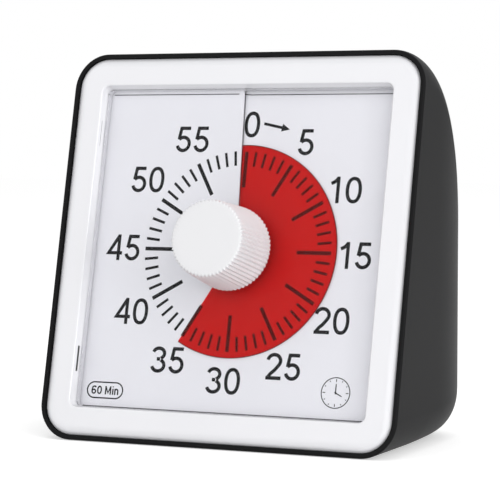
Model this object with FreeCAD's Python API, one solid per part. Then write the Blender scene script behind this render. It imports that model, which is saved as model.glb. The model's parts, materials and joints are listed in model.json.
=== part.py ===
import FreeCAD, Part
import os
from math import acos, cos, hypot, pi, radians, sin, sqrt, tan
from FreeCAD import Placement, Rotation, Vector

# A visual countdown timer: a leaning white dial in a black housing, with a red film disc
# that threads through a slit in the dial card and is set by a fluted knob.
# Millimetres. X is to the right seen from the front, Y to the back, Z up.
# Pieces of the face are drawn in the face frame: x right, y up the slope, z out of the dial.

# Housing
width = 140.0
slope_height = 145.0
lean = 13.0
corner_r = 13.0
wall = 2.6
rim_wall = 1.75
rim_proud = 1.2
rim_round = 0.9
back_reach = 66.6
back_power = 2.1
turn_power = 2.5
waist_z = 24.0
base_heel = 20.0
side_draw = 13.0
side_start = 26.0
back_corner_r = 16.0
flat_back_turn = 78.0
loft_steps = 10
cavity_steps = 6

# Bezel, window and lens
bezel_gap = 0.15
bezel_seat = 2.6
bezel_crown = 1.1
border_side = 10.2
border_end = 10.5
window_draft = 0.7
window_corner = 3.0
skirt_wall = 1.2
skirt_depth = 5.2
lens_top = 2.3
lens_t = 1.2
lens_gap = 0.2
lens_hole_r = 10.0
tab_length = 9.4
tab_reach = 1.5
tab_y = 42.4
tab_gap = 0.2

# Dial card and film disc
film_gap = 0.35
card_t = 0.5
film_t = 0.25
film_r = 39.3
card_low = 7.2
card_hole_r = 9.5
card_tuck = 0.6
spiral_steps = 48
slit_lead = 2.5
minutes_full = 60.0
minutes_shown = 35.0
hub_r = 8.0
hub_h = 2.4
axial_gap = 0.3

# Knob
knob_base_r = 15.6
knob_front_r = 14.1
knob_front = 20.0
knob_round = 1.6
knob_flutes = 60
flute_depth = 0.5
knob_skin = 2.2
knob_roof = 3.0
knob_boss_r = 6.5
knob_ribs = 6
rib_t = 1.2

# Spindle and fits
spindle_r = 2.95
spindle_flat = 2.4
pivot_r = 2.0
fit_gap = 0.05
spindle_in_knob = 12.0

# Dial frame and movement case
frame_t = 1.6
frame_floor = 11.0
rail_w = 1.6
plate_t = 1.4
case_back = 31.0
case_wall = 1.4
case_left = 33.0
case_right = 33.0
case_top = 20.5
case_bottom = 32.0
case_corner = 4.0

# Gear train
pressure_angle = 20.0
wheel_teeth = 48
time_module = 0.7
second_pinion_teeth = 12
second_teeth = 40
second_module = 0.6
third_pinion_teeth = 10
third_teeth = 40
third_module = 0.5
rotor_teeth = 10
tooth_share = 0.82
tooth_tip = 0.75
tooth_root = 1.05
small_gear = 20
second_angle = 216.0
third_angle = -14.0
rotor_angle = 16.0
wheel_t = 1.4
layer_step = 3.3
first_layer = 15.0
arbor_r = 0.8
magnet_r = 3.2
magnet_h = 3.0

# Motor
stator_t = 1.2
stator_width = 26.0
stator_bar = 4.0
coil_r = 3.6
coil_length = 13.0
stator_gap = 0.6

# Screws
screw_r = 1.2
screw_gap = 0.06
boss_r = 3.0
head_r = 2.4
head_h = 1.6
screw_length = 8.0
tower_r = 4.0
tower_end = 11.0
tower_floor = 3.0
top_screw_side = 6.7
top_screw_end = 6.8
low_screw_side = 4.9
low_screw_y = -28.0
frame_screw_x = 30.0
frame_screw_out = 3.8

# Battery bay, door and switch
cell_r = 7.2
cell_length = 49.2
cell_nub_r = 2.7
cell_nub_h = 1.2
cell_clear = 0.5
contact_t = 0.4
spring_r = 3.6
spring_wire = 0.35
spring_turns = 4
spring_turn_steps = 12
spring_room = 4.2
bay_wall = 1.6
door_half_w = 27.0
door_low = 21.0
door_high = 43.0
door_t = 2.2
door_gap = 0.3
door_tab_w = 7.0
door_tab_drop = 2.0
door_tab_t = 1.2
door_tab_x = 17.0
latch_w = 9.0
latch_rise = 1.8
switch_aside = 12.7
switch_z = 34.0
switch_travel = 3.0
switch_button_w = 4.0
switch_button_h = 3.0
switch_proud = 1.0
sound_hole_r = 0.9
sound_hole_step = 3.6
sound_aside = 3.7
sound_z = 34.0
buzzer_r = 9.0
buzzer_h = 4.5
cup_h = 3.0

# Circuit board
board_w = 34.0
board_h = 20.0
board_t = 1.2
board_x = 14.0
board_y = 36.0
board_post_r = 1.6
board_post_h = 2.0

# Worked-out sizes
height = slope_height * cos(radians(lean))
dial_z = height / 2
back_start = slope_height / 2 * sin(radians(lean)) + 0.2
card_pitch = 2 * film_gap + card_t + film_t
film_rise = card_pitch / 2
lens_under = lens_top + lens_t
shown_angle = 360.0 * minutes_shown / minutes_full
bezel_half_w = width / 2 - rim_wall - bezel_gap
bezel_half_h = slope_height / 2 - rim_wall - bezel_gap
bezel_corner = corner_r - rim_wall - bezel_gap
window_half_w = bezel_half_w - border_side
window_half_h = bezel_half_h - border_end
frame_screw_y = window_half_h + frame_screw_out
bay_half = cell_length / 2 + (cell_nub_h + spring_room) / 2 + contact_t
cell_shift = (spring_room - cell_nub_h) / 2
switch_x = bay_half + bay_wall + switch_aside
sound_x = -(bay_half + bay_wall + sound_aside + buzzer_r)
plate_front = frame_floor + axial_gap
train_front = plate_front + plate_t
knob_foot = lens_top - axial_gap

face = Placement(Vector(0, 0, dial_z), Rotation(Vector(1, 0, 0), 90 - lean))


def placed(shape, frame=face):
    """Move a shape from the face frame to the part's own frame."""
    copy = shape.copy()
    copy.Placement = frame.multiply(copy.Placement)
    return copy


def box(x0, x1, y0, y1, z0, z1):
    """A box between two corners."""
    return Part.makeBox(x1 - x0, y1 - y0, z1 - z0, Vector(x0, y0, z0))


def rod(r, z0, z1, x=0.0, y=0.0):
    """A cylinder along z."""
    return Part.makeCylinder(r, z1 - z0, Vector(x, y, z0))


def rounded_wire(x0, x1, y0, y1, corner, at):
    """A closed rounded rectangle; at(a, b) gives the point in space for plane coordinates."""
    edges = []
    k = corner * (1 - sqrt(0.5))
    pts = [(x0 + corner, y0), (x1 - corner, y0), (x1, y0 + corner), (x1, y1 - corner),
           (x1 - corner, y1), (x0 + corner, y1), (x0, y1 - corner), (x0, y0 + corner)]
    mids = [(x1 - k, y0 + k), (x1 - k, y1 - k), (x0 + k, y1 - k), (x0 + k, y0 + k)]
    for i in range(4):
        a, b, c = pts[2 * i], pts[2 * i + 1], pts[(2 * i + 2) % 8]
        edges.append(Part.LineSegment(at(*a), at(*b)).toShape())
        edges.append(Part.Arc(at(*b), at(*mids[i]), at(*c)).toShape())
    return Part.Wire(edges)


def face_wire(half_w, half_h, corner, z):
    """A rounded rectangle round the dial axis at one depth."""
    return rounded_wire(-half_w, half_w, -half_h, half_h, corner, lambda a, b: Vector(a, b, z))


def slab(half_w, half_h, corner, z0, z1):
    """A rounded plate round the dial axis."""
    return Part.Face(face_wire(half_w, half_h, corner, z0)).extrude(Vector(0, 0, z1 - z0))


def stack(rings):
    """A solid through rounded rectangles given as half width, half height, corner and z."""
    return Part.makeLoft([face_wire(*ring) for ring in rings], True, True)


def faceted(rings):
    """A closed solid of flat triangles through rings of points, each ring a closed outline."""
    count = len(rings[0])
    outlines = [rings[0], rings[-1]]
    for a, b in zip(rings, rings[1:]):
        for i in range(count):
            j = (i + 1) % count
            outlines += [[a[i], a[j], b[j]], [a[i], b[j], b[i]]]
    faces = [Part.Face(Part.makePolygon(points + points[:1])) for points in outlines]
    solid = Part.makeSolid(Part.makeShell(faces))
    if solid.Volume < 0:
        solid.reverse()
    return solid


def fuse(shapes):
    """One clean solid from several."""
    return shapes[0].fuse(shapes[1:]).removeSplitter() if len(shapes) > 1 else shapes[0]


def turn_in(share):
    """How far a rounded corner has turned in, from 0 where it starts to 1 at its end."""
    share = min(max(share, 0.0), 1.0)
    return 1 - (1 - share ** turn_power) ** (1 / turn_power)


def housing_section(turn, inset):
    """The housing's cross-section at one turn of its back curve, drawn in by inset."""
    reach = back_reach - inset
    top = waist_z + (height - inset - waist_z) * cos(turn) ** (2 / back_power)
    y = back_start + (reach - back_start) * sin(turn) ** (2 / back_power)
    low = inset + (waist_z - inset) * turn_in((y - (reach - base_heel)) / base_heel)
    half = width / 2 - inset - side_draw * turn_in((y - side_start) / (reach - side_start))
    blend = (y - back_start) / (reach - back_start)
    corner = corner_r + (back_corner_r - corner_r) * blend - inset
    corner = min(corner, (top - low) / 2 - 0.5)
    return rounded_wire(-half, half, low, top, corner, lambda a, b: Vector(a, y, b)), y


def housing_form(inset, steps):
    """The closed form of the housing, or its cavity when inset: a straight front and a lofted back."""
    ahead = slope_height / 2
    turns = [radians(flat_back_turn) * i / steps for i in range(steps + 1)]
    wires = [housing_section(turn, inset)[0] for turn in turns]
    rear = Part.makeLoft(wires, True, True)
    front = Part.Face(wires[0]).extrude(Vector(0, -ahead - back_start, 0))
    return front, rear


def in_front_of(z):
    """A block that covers everything in front of one depth of the face."""
    return placed(box(-width, width, -slope_height, slope_height, z, width))


def back_y():
    """The y of the flat of the back."""
    return housing_section(radians(flat_back_turn), 0.0)[1]


def screw(length, z_head, x, y, frame=face):
    """A pan head screw whose head's underside is at z_head and whose tip points outward."""
    head = rod(head_r, z_head - head_h, z_head, x, y)
    shank = rod(screw_r, z_head, z_head + length, x, y)
    return placed(head.fuse(shank), frame)


housing_screw_spots = [(sx * x, y) for sx in (-1, 1)
                       for x, y in ((bezel_half_w - top_screw_side, bezel_half_h - top_screw_end),
                                    (bezel_half_w - low_screw_side, low_screw_y))]
frame_screw_spots = [(sx * frame_screw_x, sy * frame_screw_y) for sx in (-1, 1) for sy in (-1, 1)]


def make_bezel():
    """White frame: crowned front, window skirt with tab slots, and screw bosses behind."""
    half_w, half_h, corner = bezel_half_w, bezel_half_h, bezel_corner
    crown = [(half_w - d, half_h - d, corner - d, z) for d, z in
             ((0.0, -bezel_seat), (0.0, 0.0), (0.8, 0.65 * bezel_crown), (2.8, bezel_crown))]
    body = stack(crown)
    lip = [(window_half_w + d, window_half_h + d, window_corner + d, z) for d, z in
           ((1.6, bezel_crown + 0.1), (0.0, -0.2 * bezel_crown), (-window_draft, -skirt_depth - 0.1))]
    skirt = slab(window_half_w + skirt_wall, window_half_h + skirt_wall, window_corner + skirt_wall,
                 -skirt_depth, -bezel_seat / 2)
    bosses = [rod(boss_r, -tower_end + axial_gap, -bezel_seat / 2, x, y) for x, y in housing_screw_spots]
    bosses += [rod(boss_r, -frame_floor + frame_t, -bezel_seat / 2, x, y) for x, y in frame_screw_spots]
    body = body.fuse([skirt] + bosses).cut(stack(lip))
    slot_low = -lens_under - tab_gap
    slot_high = -lens_top + tab_gap
    slot_half = tab_length / 2 + tab_gap
    for sx in (-1, 1):
        for sy in (-1, 1):
            x0, x1 = sorted((sx * (window_half_w - 2), sx * (window_half_w + skirt_wall + 1)))
            body = body.cut(box(x0, x1, sy * tab_y - slot_half, sy * tab_y + slot_half, slot_low, slot_high))
    for x, y in housing_screw_spots + frame_screw_spots:
        body = body.cut(rod(screw_r + screw_gap, -tower_end, -0.6, x, y))
    return placed(body)


def make_lens():
    """Clear window with four side tabs and a hole for the knob's foot."""
    drawn = window_draft * (lens_under + 0.2 * bezel_crown) / skirt_depth
    half_w = window_half_w - drawn - lens_gap
    half_h = window_half_h - drawn - lens_gap
    plate = slab(half_w, half_h, window_corner - drawn, -lens_under, -lens_top)
    tabs = []
    for sx in (-1, 1):
        for sy in (-1, 1):
            x0, x1 = sorted((sx * (half_w - 1), sx * (half_w + tab_reach)))
            y = sy * tab_y
            tabs.append(box(x0, x1, y - tab_length / 2, y + tab_length / 2, -lens_under, -lens_top))
    return placed(fuse([plate] + tabs).cut(rod(lens_hole_r, -lens_under - 1, 0)))


def spiral(r_in, r_out, thick, z_mid, start, sweep):
    """A sheet that climbs by card_pitch a turn, clockwise from start degrees after twelve."""
    rings = []
    for i in range(spiral_steps + 1):
        turn = start + sweep * i / spiral_steps
        a = radians(turn)
        z = z_mid + card_pitch * turn / 360.0
        corners = [(r_in, z - thick / 2), (r_out, z - thick / 2), (r_out, z + thick / 2), (r_in, z + thick / 2)]
        rings.append([Vector(r * sin(a), r * cos(a), h) for r, h in corners])
    return faceted(rings)


def make_card():
    """Printed card: one shallow turn of a spiral with its slit just before twelve, cut to the window."""
    half_w = window_half_w + card_tuck
    half_h = window_half_h + card_tuck
    reach = hypot(half_w, half_h) + 2
    sheet = spiral(card_hole_r, reach, card_t, -card_low, -slit_lead, 360.0)
    trim = slab(half_w, half_h, window_corner, -card_low - card_pitch, -card_low + 2 * card_pitch)
    return placed(sheet.common(trim))


def make_disc():
    """Red film: one turn of the same spiral, half a pitch in front of the card at each place."""
    sheet = spiral(hub_r + fit_gap, film_r, film_t, -card_low + film_rise, shown_angle - 360.0, 360.0)
    return placed(sheet)


def disc_middle():
    """The height of the middle of the film at rest, where the hub sits."""
    return -card_low + film_rise + card_pitch * (shown_angle - 180.0) / 360.0


def double_flat(r, flat, z0, z1):
    """A round bar with two flats."""
    return rod(r, z0, z1).common(box(-flat, flat, -2 * r, 2 * r, z0, z1))


def make_hub():
    """Hub that carries the film and slides on the spindle's flats."""
    z = disc_middle()
    body = rod(hub_r, z - hub_h / 2, z + hub_h / 2)
    bore = double_flat(spindle_r + fit_gap, spindle_flat + fit_gap, z - hub_h, z + hub_h)
    return placed(body.cut(bore))


def fluted_ring(r, depth, z):
    """Outline with flat ridges and valleys all round."""
    pts = []
    step = 2 * pi / knob_flutes
    for i in range(knob_flutes):
        for share, drop in ((-0.22, 0.0), (0.22, 0.0), (0.5, depth)):
            a = (i + share) * step
            pts.append(Vector((r - drop) * cos(a), (r - drop) * sin(a), z))
    return pts


def make_knob():
    """Fluted knob, hollow behind with a ribbed boss that holds the spindle."""
    rim = knob_front - knob_round
    rings = [fluted_ring(knob_base_r, flute_depth, -knob_foot), fluted_ring(knob_front_r, flute_depth, rim),
             fluted_ring(knob_front_r - 0.3 * knob_round, 0.4 * flute_depth, rim + 0.62 * knob_round),
             fluted_ring(knob_front_r - knob_round, 0.0, knob_front)]
    body = faceted(rings)
    roof = knob_front - knob_roof
    hollow = Part.makeCone(knob_base_r - knob_skin, knob_front_r - knob_skin, roof + knob_foot + 0.1,
                           Vector(0, 0, -knob_foot - 0.1))
    boss = rod(knob_boss_r, -knob_foot, roof + 0.1)
    ribs = []
    for i in range(knob_ribs):
        rib = box(0, knob_base_r, -rib_t / 2, rib_t / 2, 2.0, roof + 0.1)
        rib.rotate(Vector(0, 0, 0), Vector(0, 0, 1), 360.0 * i / knob_ribs)
        ribs.append(rib)
    hollow = hollow.cut(fuse([boss] + ribs))
    body = body.cut(hollow)
    foot_z = disc_middle() + hub_h / 2 + card_pitch * (1 - shown_angle / 360.0) + axial_gap
    body = body.fuse(rod(knob_boss_r, foot_z, -knob_foot + 0.1))
    bore = double_flat(spindle_r + fit_gap, spindle_flat + fit_gap, foot_z - 1, spindle_in_knob + fit_gap)
    return placed(body.cut(bore))


def layer(i):
    """The front of one layer of the gear train."""
    return -(first_layer + i * layer_step)


def make_spindle():
    """Stepped spindle: flats for the knob and hub, a collar, and the rear pivot."""
    front = double_flat(spindle_r, spindle_flat, -plate_front + axial_gap, spindle_in_knob)
    journal = rod(spindle_r, -train_front - axial_gap, -plate_front + axial_gap)
    seat = rod(pivot_r + 1.4, layer(0) - wheel_t - 1.2, -train_front - axial_gap)
    rear = rod(pivot_r, -case_back + case_wall + axial_gap - 1.0, layer(0) - wheel_t)
    return placed(fuse([front, journal, seat, rear]))


def involute(r, base):
    """The involute angle at radius r."""
    a = acos(min(1.0, base / r))
    return tan(a) - a


def gear(teeth, module, z0, z1, bore, phase, x, y):
    """A spur gear with involute flanks, one tooth centred on phase radians."""
    pitch_r = teeth * module / 2
    base = pitch_r * cos(radians(pressure_angle))
    tip = pitch_r + tooth_tip * module
    root = pitch_r - tooth_root * module
    half = tooth_share * pi / (2 * teeth)
    radii = [max(base, root), pitch_r, tip] if teeth < small_gear else [max(base, root), tip]
    if base > root:
        radii = [root] + radii
    flank = [(r, half + involute(pitch_r, base) - involute(max(r, base), base)) for r in radii]
    pts = []
    for i in range(teeth):
        middle = phase + 2 * pi * i / teeth
        for r, a in flank:
            pts.append((r, middle - a))
        for r, a in reversed(flank):
            pts.append((r, middle + a))
    points = [Vector(x + r * cos(a), y + r * sin(a), z0) for r, a in pts]
    body = Part.Face(Part.makePolygon(points + [points[0]])).extrude(Vector(0, 0, z1 - z0))
    return body.cut(rod(bore, z0 - 1, z1 + 1, x, y)) if bore else body


def meshed_phase(teeth_a, phase_a, toward, teeth_b):
    """The phase of gear b that puts its gap on gear a's tooth along the line of centres."""
    share = (toward - phase_a) * teeth_a / (2 * pi)
    share -= int(share // 1)
    return toward + pi - (0.5 - share) * 2 * pi / teeth_b


def polar(x, y, angle, r):
    """A point at an angle and distance from another."""
    return x + r * cos(radians(angle)), y + r * sin(radians(angle))


second_x, second_y = polar(0, 0, second_angle, (wheel_teeth + second_pinion_teeth) * time_module / 2)
third_x, third_y = polar(second_x, second_y, third_angle,
                         (second_teeth + third_pinion_teeth) * second_module / 2)
rotor_x, rotor_y = polar(third_x, third_y, rotor_angle, (third_teeth + rotor_teeth) * third_module / 2)
second_phase = meshed_phase(wheel_teeth, 0.0, radians(second_angle), second_pinion_teeth)
third_phase = meshed_phase(second_teeth, 0.0, radians(third_angle), third_pinion_teeth)
rotor_phase = meshed_phase(third_teeth, 0.0, radians(rotor_angle), rotor_teeth)
arbor_bore = arbor_r + fit_gap


def make_time_wheel():
    """Large wheel on the spindle."""
    wheel = gear(wheel_teeth, time_module, layer(0) - wheel_t, layer(0), 0, 0.0, 0, 0)
    wheel = wheel.cut(rod(pivot_r + 1.4 + fit_gap, layer(0) - wheel_t - 1, layer(0) + 1))
    for i in range(4):
        x, y = polar(0, 0, 45 + 90 * i, wheel_teeth * time_module * 0.32)
        wheel = wheel.cut(rod(2.6, layer(0) - wheel_t - 1, layer(0) + 1, x, y))
    return placed(wheel)


def make_clutch():
    """Slip washer that presses the wheel against the spindle's collar."""
    z = layer(0)
    ring = rod(pivot_r + 4.0, z, z + 0.5).cut(rod(pivot_r + 1.4 + fit_gap, z - 1, z + 1))
    return placed(ring)


def make_compound(level, pinion_teeth, pinion_module, pinion_phase, teeth, module, x, y):
    """A pinion and the wheel behind it on one sleeve."""
    front = layer(level) + 0.2
    wheel_front = layer(level + 1)
    pinion = gear(pinion_teeth, pinion_module, wheel_front - 0.1, front, 0, pinion_phase, x, y)
    wheel = gear(teeth, module, wheel_front - wheel_t, wheel_front, 0, 0.0, x, y)
    sleeve = rod(1.7, wheel_front - wheel_t - 0.4, wheel_front, x, y)
    body = pinion.fuse([wheel, sleeve]).removeSplitter()
    return placed(body.cut(rod(arbor_bore, wheel_front - 9, front + 9, x, y)))


def make_rotor():
    """Magnet and pinion of the stepping motor."""
    front = layer(2) + 0.2
    magnet_front = layer(2) - wheel_t - 0.6
    pinion = gear(rotor_teeth, third_module, magnet_front - 0.1, front, 0, rotor_phase, rotor_x, rotor_y)
    magnet = rod(magnet_r, magnet_front - magnet_h, magnet_front, rotor_x, rotor_y)
    body = pinion.fuse(magnet).removeSplitter()
    return placed(body.cut(rod(arbor_bore, magnet_front - 9, front + 9, rotor_x, rotor_y)))


def make_arbor(x, y, front):
    """A fixed steel pin pressed into the cover; the outer one also reaches the plate."""
    return placed(rod(arbor_r, -case_back + case_wall / 2, front, x, y))


def case_block(grow, z0, z1):
    """The outline of the movement case as a solid."""
    wire = rounded_wire(-case_left - grow, case_right + grow, -case_bottom - grow, case_top + grow,
                        case_corner, lambda a, b: Vector(a, b, z0))
    return Part.Face(wire).extrude(Vector(0, 0, z1 - z0))


case_lug = case_corner + 0.2
case_screw_spots = [(-case_left + case_lug, case_top - case_lug), (case_right - case_lug, case_top - case_lug),
                    (case_right - case_lug, -case_bottom + case_lug)]
arbor_spots = [(second_x, second_y), (third_x, third_y), (rotor_x, rotor_y)]
behind_wheel = layer(0) - wheel_t - 0.6
arbor_fronts = [-train_front + plate_t / 2, behind_wheel, behind_wheel]


def make_plate():
    """Front plate of the movement with the spindle's bearing."""
    body = case_block(0.0, -train_front, -plate_front)
    body = body.cut(rod(spindle_r + fit_gap, -train_front - 1, -plate_front + 1))
    socket_top = -train_front + plate_t / 2 + fit_gap
    body = body.cut(rod(arbor_r + fit_gap, -train_front - 1, socket_top, second_x, second_y))
    for x, y in case_screw_spots:
        body = body.cut(rod(screw_r + screw_gap, -train_front - 1, -plate_front + 1, x, y))
    return placed(body)


def make_cover():
    """Rear cover of the movement: a box with a bearing and arbor sockets."""
    body = case_block(0.0, -case_back, -train_front)
    body = body.cut(case_block(-case_wall, -case_back + case_wall, -train_front + 1))
    posts = [rod(2.8, -case_back, -train_front, x, y) for x, y in case_screw_spots]
    inner = case_block(0.0, -case_back, -train_front)
    body = body.fuse([post.common(inner) for post in posts])
    body = body.fuse(rod(pivot_r + 2.0, -case_back, -case_back + case_wall + 1.4))
    body = body.cut(rod(pivot_r + fit_gap, -case_back + 0.7, -train_front))
    for x, y in arbor_spots:
        socket = rod(arbor_r + fit_gap, -case_back + case_wall / 2 - fit_gap, -train_front, x, y)
        body = body.cut(socket)
    for x, y in case_screw_spots:
        body = body.cut(rod(screw_r + screw_gap, -case_back - 1, -train_front + 1, x, y))
    return placed(body)


def make_stator():
    """Laminated frame round the rotor, with its upper bar through the coil."""
    z1 = layer(2) - wheel_t - 0.6 - magnet_h / 2 + stator_t / 2
    z0 = z1 - stator_t
    x0 = rotor_x - magnet_r - stator_gap - 1.6
    x1 = x0 + stator_width
    y0 = rotor_y - magnet_r - stator_gap - 2.4
    y1 = rotor_y + magnet_r + stator_gap + 2.4 + 2 * coil_r + 3.0
    body = box(x0, x1, y0, y1, z0, z1)
    body = body.cut(box(x0 + stator_bar, x1 - stator_bar, rotor_y + magnet_r + stator_gap + 2.4,
                        y1 - stator_bar, z0 - 1, z1 + 1))
    body = body.cut(rod(magnet_r + stator_gap, z0 - 1, z1 + 1, rotor_x, rotor_y))
    return placed(body), (x0 + x1) / 2, y1 - stator_bar / 2, (z0 + z1) / 2


stator_shape, coil_x, coil_y, coil_z = make_stator()


def make_coil():
    """Wound coil with end cheeks on the stator's upper bar."""
    start = Vector(coil_x - coil_length / 2, coil_y, coil_z)
    winding = Part.makeCylinder(coil_r - 0.6, coil_length, start, Vector(1, 0, 0))
    cheeks = [Part.makeCylinder(coil_r, 0.8, start + Vector(s, 0, 0), Vector(1, 0, 0))
              for s in (0.0, coil_length - 0.8)]
    core = box(coil_x - coil_length, coil_x + coil_length, coil_y - stator_bar / 2 - fit_gap,
               coil_y + stator_bar / 2 + fit_gap, coil_z - stator_t / 2 - fit_gap,
               coil_z + stator_t / 2 + fit_gap)
    return placed(fuse([winding] + cheeks).cut(core))


def make_stator_posts():
    """Posts of the cover that carry the stator's right bar."""
    posts = []
    x = coil_x + stator_width / 2 - stator_bar / 2
    for y in (coil_y - 3.0, rotor_y):
        posts.append(rod(1.4, -case_back + case_wall / 2, coil_z - stator_t / 2, x, y))
    return [placed(post) for post in posts]


def make_dial_frame():
    """Inner frame behind the card: a floor, a raised rail and ears for its screws."""
    half_w = window_half_w + card_tuck
    half_h = window_half_h + card_tuck
    rail_top = -card_low - card_t / 2 - axial_gap
    body = slab(half_w, half_h, window_corner, -frame_floor, -frame_floor + frame_t)
    rail = slab(half_w, half_h, window_corner, -frame_floor, rail_top)
    rail = rail.cut(slab(half_w - rail_w, half_h - rail_w, window_corner, -frame_floor - 1, rail_top + 1))
    ears = []
    for x, y in frame_screw_spots:
        y0, y1 = sorted((y, y * (half_h - rail_w) / frame_screw_y))
        ears.append(rod(boss_r, -frame_floor, -frame_floor + frame_t, x, y))
        ears.append(box(x - boss_r, x + boss_r, y0, y1, -frame_floor, -frame_floor + frame_t))
    body = body.fuse([rail] + ears)
    for x, y in case_screw_spots:
        body = body.fuse(rod(screw_r + 1.2, -plate_front, -frame_floor + frame_t, x, y))
    for sx in (-1, 1):
        x = board_x + sx * (board_w / 2 - 3)
        body = body.fuse(rod(board_post_r, -frame_floor - board_post_h, -frame_floor + 0.1, x, board_y))
        body = body.fuse(rod(0.9, -frame_floor - board_post_h - 2, -frame_floor + 0.1, x, board_y))
    body = body.cut(rod(card_hole_r, -frame_floor - 1, 0))
    for x, y in frame_screw_spots + case_screw_spots:
        body = body.cut(rod(screw_r + screw_gap, -plate_front - 1, 0, x, y))
    return placed(body)


def make_board():
    """Circuit board with a hole on each post, and its chip."""
    z1 = -frame_floor - board_post_h
    board = box(board_x - board_w / 2, board_x + board_w / 2, board_y - board_h / 2, board_y + board_h / 2,
                z1 - board_t, z1)
    for sx in (-1, 1):
        x = board_x + sx * (board_w / 2 - 3)
        board = board.cut(rod(0.9 + fit_gap, z1 - 5, z1 + 1, x, board_y))
    chip = box(board_x - 4, board_x + 4, board_y - 4, board_y + 4, z1 - board_t - 1.2, z1 - board_t)
    can_start = Vector(board_x + 7.5, board_y - 3, z1 - board_t - 1.5)
    crystal = Part.makeCylinder(1.5, 6.0, can_start, Vector(0, 1, 0))
    return placed(board), placed(chip), placed(crystal)


def bay_y():
    """The y of the battery's axis."""
    return back_y() - door_t - cell_clear - cell_r


def bay_z():
    """The height of the battery's axis."""
    return (door_low + door_high) / 2


def make_cell():
    """Battery cell with its nub, lying across the housing."""
    start = Vector(-cell_length / 2 + cell_shift, bay_y(), bay_z())
    can = Part.makeCylinder(cell_r, cell_length, start, Vector(1, 0, 0))
    can = can.makeChamfer(0.5, [e for e in can.Edges if e.Curve.TypeId == "Part::GeomCircle"])
    nub_start = start + Vector(cell_length - 0.1, 0, 0)
    nub = Part.makeCylinder(cell_nub_r, cell_nub_h + 0.1, nub_start, Vector(1, 0, 0))
    return can.fuse(nub)


def make_spring():
    """Contact spring at the battery's flat end, a six-sided wire wound along X."""
    length = spring_room - 2 * spring_wire - 0.1
    steps = spring_turns * spring_turn_steps
    rings = []
    for i in range(steps + 1):
        a = 2 * pi * spring_turns * i / steps
        ring = []
        for k in range(6):
            r, along = polar(spring_r, -bay_half + contact_t + spring_wire + length * i / steps, 60 * k, spring_wire)
            ring.append(Vector(along, bay_y() + r * cos(a), bay_z() + r * sin(a)))
        rings.append(ring)
    return faceted(rings)


def make_contacts():
    """Two plates: one behind the spring, one at the nub."""
    reach = cell_r - 0.8
    y0, y1 = bay_y() - reach, bay_y() + reach
    z0, z1 = bay_z() - reach, bay_z() + reach
    left = box(-bay_half, -bay_half + contact_t, y0, y1, z0, z1)
    right = box(bay_half - contact_t, bay_half, y0, y1, z0, z1)
    return left, right


def make_door():
    """Battery door: a flat plate with two lower tabs behind the wall and a latch tongue."""
    y1 = back_y()
    y0 = y1 - door_t
    half = door_half_w - door_gap
    plate = box(-half, half, y0, y1, door_low + door_gap, door_high - door_gap)
    tongue = box(-latch_w / 2 + door_gap, latch_w / 2 - door_gap, y0, y1 - 0.8,
                 door_high - door_gap - 1, door_high + latch_rise - door_gap)
    parts = [plate, tongue]
    for sx in (-1, 1):
        x0, x1 = sx * door_tab_x - door_tab_w / 2, sx * door_tab_x + door_tab_w / 2
        stem = box(x0, x1, y0 - door_gap - door_tab_t, y0 + 0.1, door_low + door_gap, door_low + door_gap + 2.0)
        foot = box(x0, x1, y0 - door_gap - door_tab_t, y0 - door_gap, door_low - door_tab_drop,
                   door_low + door_gap + 0.1)
        parts += [stem, foot]
    body = fuse(parts)
    for i in range(3):
        z = door_high - 6.0 - 2.0 * i
        body = body.cut(box(-8, 8, y1 - 0.4, y1 + 1, z - 0.4, z + 0.4))
    return body


def make_switch():
    """Sound switch: a sliding button in the back wall and its fixed body inside."""
    y1 = back_y()
    x0 = switch_x - switch_travel / 2 - switch_button_w / 2
    z0, z1 = switch_z - switch_button_h / 2, switch_z + switch_button_h / 2
    button = box(x0, x0 + switch_button_w, y1 - wall, y1 + switch_proud, z0, z1)
    flange = box(x0 - 1.2, x0 + switch_button_w + 1.2, y1 - wall - 1.2, y1 - wall - axial_gap, z0 - 1.2, z1 + 1.2)
    neck = box(x0, x0 + switch_button_w, y1 - wall - 1.0, y1 - wall + 0.1, z0, z1)
    for i in range(3):
        x = x0 + switch_button_w * (i + 1) / 4
        button = button.cut(box(x - 0.25, x + 0.25, y1 + switch_proud - 0.3, y1 + switch_proud + 1,
                                z0 - 1, z1 + 1))
    slider = fuse([button, neck, flange])
    reach = switch_travel / 2 + switch_button_w / 2 + 4.0
    back = y1 - wall - 1.2 - axial_gap
    body = box(switch_x - reach, switch_x + reach, back - 4.0, back, switch_z - 5, switch_z + 5)
    return slider, body


def make_buzzer():
    """Round sounder against the sound holes."""
    y1 = back_y() - wall
    ring = Part.makeCylinder(buzzer_r, buzzer_h, Vector(sound_x, y1 - buzzer_h, sound_z), Vector(0, 1, 0))
    floor = Vector(sound_x, y1 - buzzer_h + 1.0, sound_z)
    mouth = Part.makeCylinder(buzzer_r - 1.5, buzzer_h - 1.0, floor, Vector(0, 1, 0))
    return ring.cut(mouth)


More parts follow.
